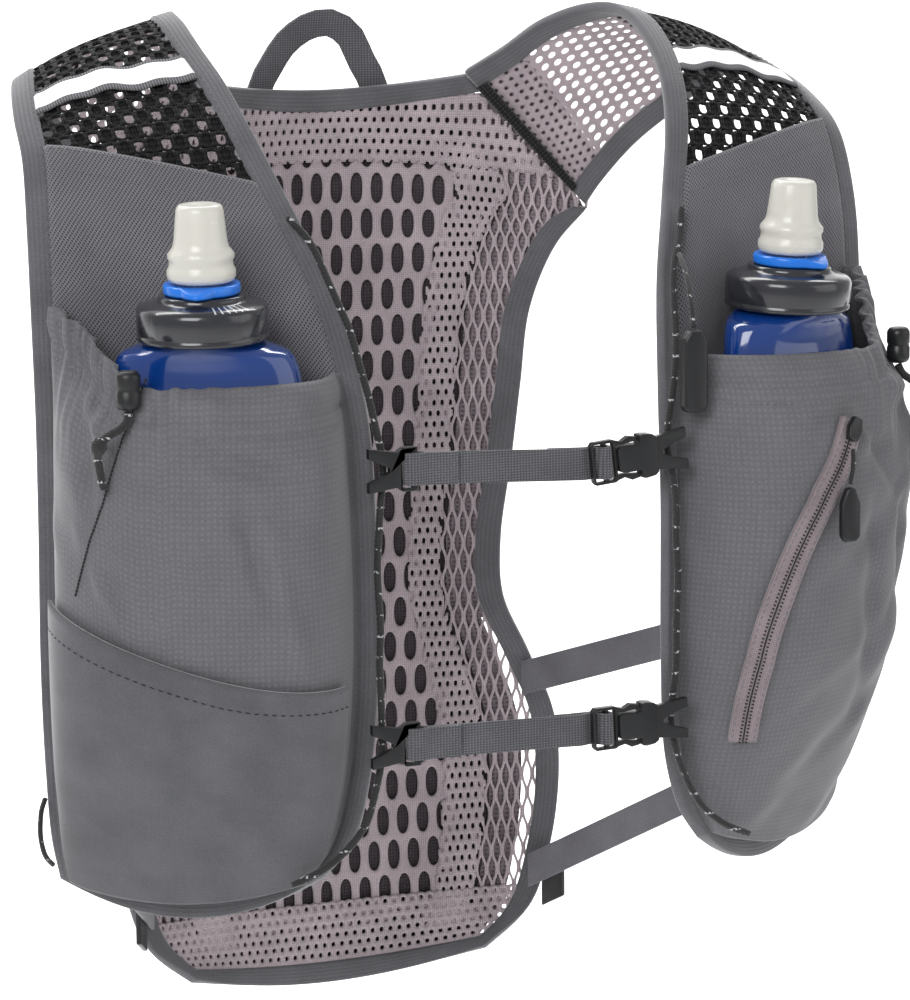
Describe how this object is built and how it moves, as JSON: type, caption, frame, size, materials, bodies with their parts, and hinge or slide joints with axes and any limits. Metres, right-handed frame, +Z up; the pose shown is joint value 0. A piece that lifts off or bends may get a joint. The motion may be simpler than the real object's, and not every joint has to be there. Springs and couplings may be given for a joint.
{
  "type": "running hydration vest with two soft flasks",
  "caption": "Running hydration vest in its worn shape: mesh back, flask pockets on the chest, buckled chest straps and elastic side straps.",
  "frame": {"origin": "midway between the two shoulder seats, where the straps lie on the shoulders", "axes": "+X to the wearer's left, -Y to the front, +Z up"},
  "size_m": [0.3527, 0.2784, 0.4249],
  "materials": {
    "strap_net": "black open mesh",
    "binding": "grey stretch tape",
    "panel_mesh": "fine grey mesh",
    "ripstop": "grey ripstop",
    "stretch": "grey stretch weave",
    "bright_tape": "white reflective tape with ribbed edges",
    "seam_tape": "black seam tape",
    "back_net": "pink grey coarse mesh",
    "pouch_cloth": "dark woven cloth",
    "webbing": "grey herringbone webbing",
    "elastic": "grey knitted elastic",
    "zip_tape": "pink grey zip tape",
    "cord": "black cord with pale flecks",
    "fitting": "black moulded acetal",
    "bottle": "clear blue soft plastic",
    "cap": "smoke grey moulded plastic",
    "lever": "bright blue moulded plastic",
    "valve": "milky silicone"
  },
  "bodies": {
    "vest": {"shoulder_strap_left": "strap_net", "shoulder_strap_right": "strap_net", "edge_binding_left": "binding", "edge_binding_right": "binding", "neck_binding": "binding", "back_binding": "binding", "haul_loop": "binding", "front_panel_left": "panel_mesh", "front_panel_right": "panel_mesh", "mesh_sleeve_left": "panel_mesh", "mesh_sleeve_right": "panel_mesh", "flask_pocket_left": "ripstop", "flask_pocket_right": "ripstop", "stretch_pocket": "stretch", "reflective_tape_left": "bright_tape", "reflective_tape_right": "bright_tape", "yoke_tape_left": "seam_tape", "yoke_tape_right": "seam_tape", "back_panel": "back_net", "back_pouch": "pouch_cloth", "chest_upper_webbing": "webbing", "chest_lower_webbing": "webbing", "side_strap_upper_left": "elastic", "side_strap_upper_right": "elastic", "side_strap_lower_left": "elastic", "side_strap_lower_right": "elastic", "strap_keeper_left": "elastic", "strap_keeper_right": "elastic", "zip_tape": "zip_tape", "rail_cord_left": "cord", "rail_cord_right": "cord", "drawcord_left": "cord", "drawcord_right": "cord", "drawcord_knot_left": "cord", "drawcord_knot_right": "cord", "pull_cord": "cord", "whistle_lanyard": "cord", "pole_loop": "cord", "chest_upper_hook": "fitting", "chest_upper_ladder": "fitting", "chest_upper_buckle": "fitting", "chest_lower_hook": "fitting", "chest_lower_ladder": "fitting", "chest_lower_buckle": "fitting", "zip_slider": "fitting", "zip_pull": "fitting", "whistle": "fitting", "cord_lock_left": "fitting", "cord_lock_right": "fitting", "side_lock_left": "fitting", "side_lock_right": "fitting", "flask_body_left": "bottle", "flask_body_right": "bottle", "flask_cap_left": "cap", "flask_cap_right": "cap"},
    "mouthpiece_left": {"valve_lever_left": "lever", "bite_valve_left": "valve"},
    "mouthpiece_right": {"valve_lever_right": "lever", "bite_valve_right": "valve"}
  },
  "joints": [
    {"name": "mouthpiece_left_turn", "type": "hinge", "parent": "vest", "child": "mouthpiece_left", "pos_m": [0.11499, -0.11336, -0.09124], "axis": [0.0295, -0.0632, 0.9976], "range_deg": [0, 90]},
    {"name": "mouthpiece_right_turn", "type": "hinge", "parent": "vest", "child": "mouthpiece_right", "pos_m": [-0.121, -0.11336, -0.09124], "axis": [-0.0295, -0.0632, 0.9976], "range_deg": [0, 90]}
  ]
}
